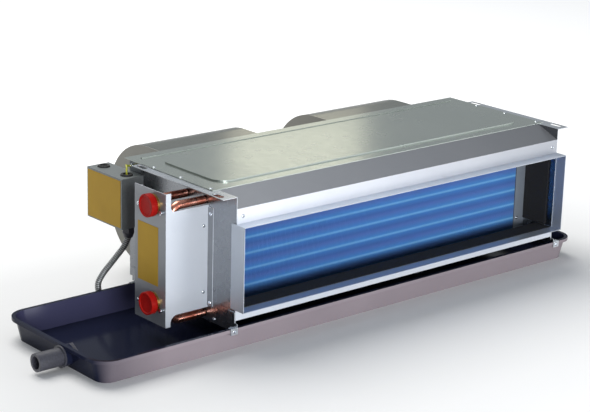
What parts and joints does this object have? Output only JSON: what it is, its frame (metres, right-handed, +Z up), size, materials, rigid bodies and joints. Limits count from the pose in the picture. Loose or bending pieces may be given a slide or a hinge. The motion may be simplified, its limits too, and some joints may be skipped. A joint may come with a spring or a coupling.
{
  "type": "ceiling fan coil unit",
  "caption": "Concealed horizontal fan coil unit: galvanised casing with a finned water coil, twin blowers on one motor shaft, capped water ports and a long drain pan.",
  "frame": {"origin": "centre of the bounding box, on the plane of the drain pan's underside", "axes": "+X along the unit away from the water connections, +Z up, air leaves towards -Y"},
  "size_m": [1.024, 0.438, 0.237],
  "materials": {
    "pan": "glossy black stove enamel",
    "spigot": "black moulded plastic",
    "casing": "galvanised sheet, satin spangle",
    "foam": "black closed-cell foam",
    "fins": "blue hydrophilic coating",
    "copper": "bare copper tube",
    "brass": "machined brass",
    "cap": "red moulded plastic",
    "fastener": "bright zinc plate",
    "box": "grey paint",
    "terminals": "off-white moulding",
    "grommet": "black rubber",
    "conduit": "wound metal hose",
    "wire": "yellow-green insulation",
    "blower": "galvanised sheet, satin spangle",
    "motor": "dark grey paint",
    "bells": "die-cast",
    "stator": "laminations and windings",
    "shaft": "ground steel",
    "impeller": "pressed sheet"
  },
  "bodies": {
    "unit": {"drain_pan": "pan", "drain_spigot": "spigot", "drain_locknut": "spigot", "cable_gland": "spigot", "left_side_plate": "casing", "right_side_plate": "casing", "top_panel": "casing", "front_header": "casing", "outlet_collar": "casing", "front_bottom_rail": "casing", "fan_deck": "casing", "pan_clips": "casing", "coil_plate_left": "casing", "coil_plate_right": "casing", "connection_bracket": "casing", "motor_shelf": "casing", "motor_clamps": "casing", "foam_linings": "foam", "coil_top_seal": "foam", "coil_fins": "fins", "coil_hairpins": "copper", "return_bends": "copper", "supply_header": "copper", "return_header": "copper", "supply_connector": "brass", "return_connector": "brass", "panel_screws": "fastener", "frame_screws": "fastener", "terminal_box": "box", "terminal_cover": "box", "terminal_block": "terminals", "box_grommets": "grommet", "conduit": "conduit", "earth_wire": "wire", "left_blower_wrap": "blower", "right_blower_wrap": "blower", "left_blower_ends": "blower", "right_blower_ends": "blower", "motor_body": "motor", "motor_bells": "bells", "motor_stator": "stator"},
    "rotor": {"rotor_shaft": "shaft", "left_impeller": "impeller", "right_impeller": "impeller"},
    "upper_cap": {"supply_cap": "cap"},
    "lower_cap": {"return_cap": "cap"},
    "upper_vent": {"supply_vent_screw": "fastener"},
    "lower_vent": {"return_vent_screw": "fastener"}
  },
  "joints": [
    {"name": "rotor_spin", "type": "hinge", "parent": "unit", "child": "rotor", "pos_m": [0.112, 0.123, 0.123], "axis": [1, 0, 0], "continuous": true},
    {"name": "upper_cap_pull", "type": "slide", "parent": "unit", "child": "upper_cap", "axis": [-1, 0, 0], "range_m": [0, 0.09]},
    {"name": "lower_cap_pull", "type": "slide", "parent": "unit", "child": "lower_cap", "axis": [-1, 0, 0], "range_m": [0, 0.09]},
    {"name": "upper_vent_turn", "type": "hinge", "parent": "unit", "child": "upper_vent", "pos_m": [-0.307, -0.1255, 0.2065], "axis": [-1, 0, 0], "range_deg": [0, 360]},
    {"name": "lower_vent_turn", "type": "hinge", "parent": "unit", "child": "lower_vent", "pos_m": [-0.307, -0.1255, 0.0575], "axis": [-1, 0, 0], "range_deg": [0, 360]}
  ]
}
